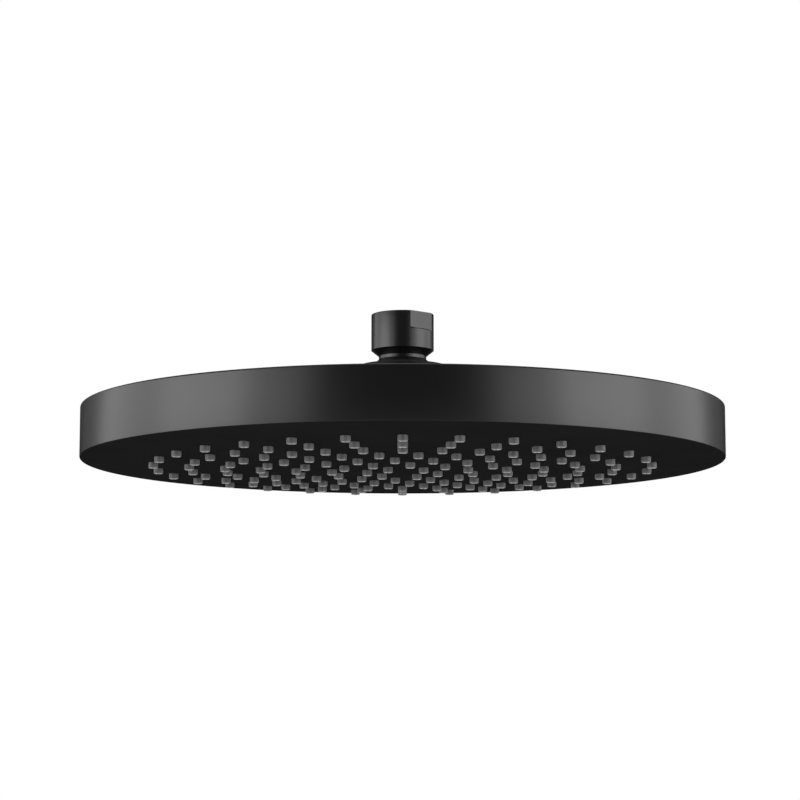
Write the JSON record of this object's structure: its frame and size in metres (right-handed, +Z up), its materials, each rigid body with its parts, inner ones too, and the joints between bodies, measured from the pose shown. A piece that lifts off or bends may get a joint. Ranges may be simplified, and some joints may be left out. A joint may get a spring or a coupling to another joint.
{
  "type": "rain shower head",
  "caption": "Round satin black overhead rain shower with a convex nozzle face, straight side wall and a swivel ball inlet with a female thread.",
  "frame": {"origin": "on the inlet's axis where its female thread starts, at the lower end of the mouth's lead-in", "axes": "+Z up along the inlet's axis, towards the supply pipe; the nozzle face looks along -Z"},
  "size_m": [0.25, 0.25, 0.0637],
  "materials": {
    "black_shell": "satin black moulded plastic",
    "black_metal": "satin black coated brass",
    "grey_silicone": "grey silicone, slightly translucent",
    "inner_plastic": "plain off-white plastic",
    "seat_plastic": "white low-friction plastic",
    "black_rubber": "matt black rubber",
    "steel": "bright stainless steel",
    "brass": "plain machined brass"
  },
  "bodies": {
    "inlet": {"inlet_connector": "black_metal", "inlet_washer": "black_rubber", "inlet_screen": "steel", "flow_regulator": "seat_plastic", "regulator_ring": "black_rubber"},
    "swivel_ring": {"ball_o_ring": "black_rubber"},
    "head": {"front_shell": "black_shell", "nozzle_mat": "grey_silicone", "back_plate": "inner_plastic", "plate_screws": "steel", "top_cover": "black_shell", "swivel_housing": "black_shell", "housing_washer": "black_rubber", "hub_gasket": "black_rubber", "hub_nut": "brass", "seat_gasket": "black_rubber", "lower_seat_ring": "seat_plastic", "upper_seat_ring": "seat_plastic", "retaining_collar": "black_metal"}
  },
  "joints": [
    {"name": "head_swivel", "type": "hinge", "parent": "inlet", "child": "swivel_ring", "pos_m": [0, 0, -0.02767], "axis": [0, 0, 1], "continuous": true},
    {"name": "head_tilt", "type": "hinge", "parent": "swivel_ring", "child": "head", "pos_m": [0, 0, -0.02767], "axis": [1, 0, 0], "range_deg": [-15, 15]}
  ]
}
